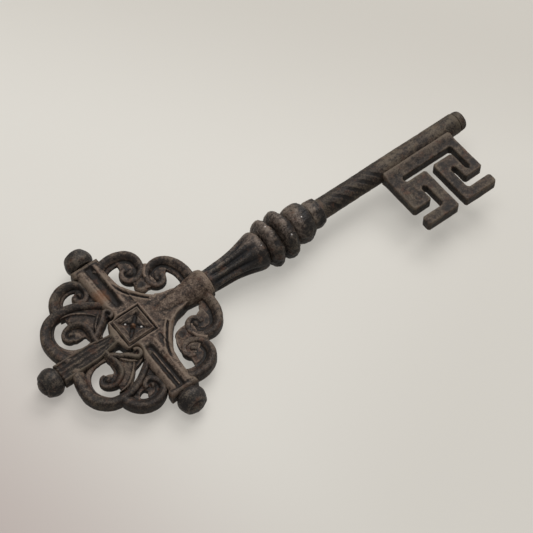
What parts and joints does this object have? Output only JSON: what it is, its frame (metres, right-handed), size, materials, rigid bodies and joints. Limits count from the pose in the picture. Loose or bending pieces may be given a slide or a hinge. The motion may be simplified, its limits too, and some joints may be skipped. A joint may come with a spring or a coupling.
{
  "type": "decorative skeleton key",
  "caption": "Cast-iron decorative skeleton key with a pierced scrollwork cross bow, a ringed baluster shank with a twisted stem and a flat bit cut with a mirrored meander.",
  "frame": {"origin": "middle of the overall length, on the shank's axis", "axes": "+X along the shank from the bow to the tip, +Z square to the bow's face; the bit points to -Y"},
  "size_m": [0.2276, 0.0938, 0.0232],
  "materials": {
    "arm": "aged bare casting, dark brown, satin",
    "scroll": "aged bare casting, brown-black, satin",
    "relief": "aged bare casting, worn to a warmer brown",
    "turned": "aged bare casting, brown-black, slightly burnished",
    "shank": "aged bare casting, brown-black, slightly burnished"
  },
  "bodies": {
    "root": {"bow_cross": "arm", "boss_frame_front": "relief", "boss_stud_front": "relief", "boss_frame_back": "relief", "boss_stud_back": "relief", "heart_arm_scroll_left": "scroll", "heart_arm_scroll_right": "scroll", "heart_socket_scroll_left": "scroll", "heart_socket_scroll_right": "scroll", "heart_bud_left": "relief", "heart_bud_right": "relief", "rear_scroll_left": "scroll", "rear_scroll_right": "scroll", "rear_volute_left": "scroll", "rear_volute_right": "scroll", "corner_curl_left": "relief", "corner_curl_right": "relief", "end_scroll_left": "scroll", "end_scroll_right": "scroll", "rear_leaf_left": "relief", "rear_leaf_right": "relief", "finial_left": "turned", "finial_right": "turned", "finial_rear": "turned", "neck": "turned", "ring_first": "turned", "ring_second": "turned", "ring_bulb": "turned", "ring_collar": "turned", "shank": "shank", "tip_cap": "shank", "bit": "shank"}
  },
  "joints": []
}
